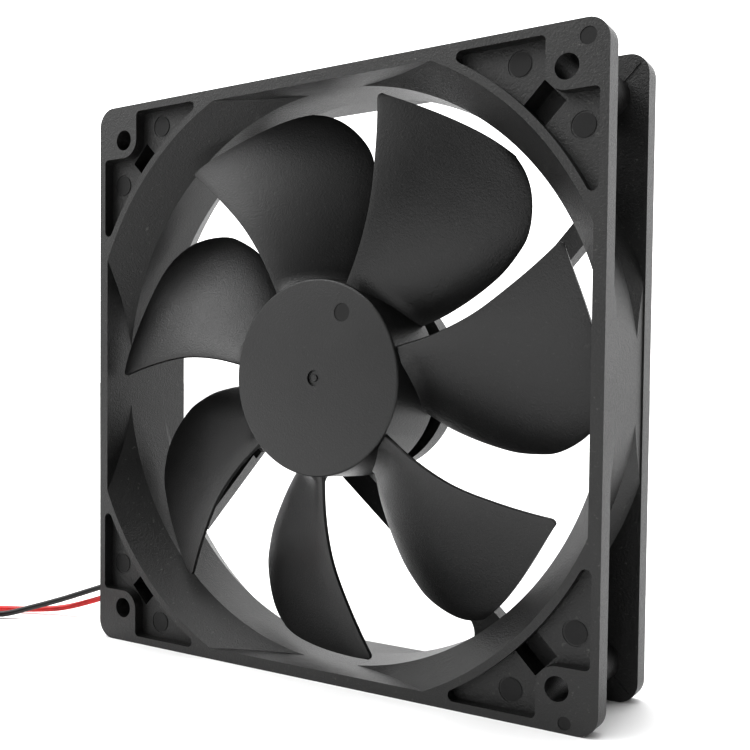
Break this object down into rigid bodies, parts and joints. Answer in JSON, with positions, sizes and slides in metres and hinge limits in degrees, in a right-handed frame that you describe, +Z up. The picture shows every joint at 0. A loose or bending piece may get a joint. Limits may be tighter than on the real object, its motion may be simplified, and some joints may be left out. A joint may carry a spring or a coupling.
{
  "type": "case fan",
  "caption": "Square axial computer case fan with a swept-blade impeller, brushless motor in the hub, four struts and a coiled two-wire lead with connector.",
  "frame": {"origin": "middle of the underside of the square frame, on the floor, halfway between the intake and exhaust faces", "axes": "+Z up, the fan standing on one edge; the impeller's axis lies along Y at z 0.06 and the intake side with the closed hub face looks along -Y"},
  "size_m": [0.1685, 0.052, 0.12],
  "materials": {
    "black_plastic": "fine satin moulding",
    "steel": "ground",
    "silicon_steel": "stamped laminations",
    "ferrite": "rubber bonded magnet",
    "brass": "turned",
    "bronze": "sintered, oil filled",
    "copper": "enamelled wire",
    "white_nylon": "moulded",
    "solder_mask": "solder mask",
    "chip_epoxy": "moulded epoxy",
    "ceramic": "ceramic",
    "label_film": "blank film",
    "seal_rubber": "oil seal",
    "red_pvc": "wire insulation",
    "black_pvc": "wire insulation"
  },
  "bodies": {
    "frame": {"frame_housing": "black_plastic", "bearing_tube": "brass", "sleeve_bearing": "bronze", "oil_seal_ring": "seal_rubber", "thrust_pad": "white_nylon", "bearing_cap": "black_plastic", "rear_label": "label_film", "stator_core": "silicon_steel", "winding_1": "copper", "winding_2": "copper", "winding_3": "copper", "winding_4": "copper", "front_insulator": "white_nylon", "rear_insulator": "white_nylon", "circuit_board": "solder_mask", "coil_pin_1": "brass", "coil_pin_2": "brass", "coil_pin_3": "brass", "hall_sensor": "chip_epoxy", "driver_chip": "chip_epoxy", "capacitor": "ceramic", "resistor": "chip_epoxy", "diode": "chip_epoxy", "black_lead": "black_pvc", "red_lead": "red_pvc", "lead_coil": "black_pvc", "coil_tie": "black_pvc", "connector_housing": "black_plastic", "black_lead_tail": "black_pvc", "red_lead_tail": "red_pvc", "black_terminal": "brass", "red_terminal": "brass"},
    "rotor": {"impeller": "black_plastic", "rotor_yoke": "steel", "rotor_magnet": "ferrite", "shaft_bush": "brass", "shaft": "steel", "retaining_clip": "white_nylon"}
  },
  "joints": [
    {"name": "impeller_spin", "type": "hinge", "parent": "frame", "child": "rotor", "pos_m": [0, 0, 0.06], "axis": [0, 1, 0], "continuous": true}
  ]
}
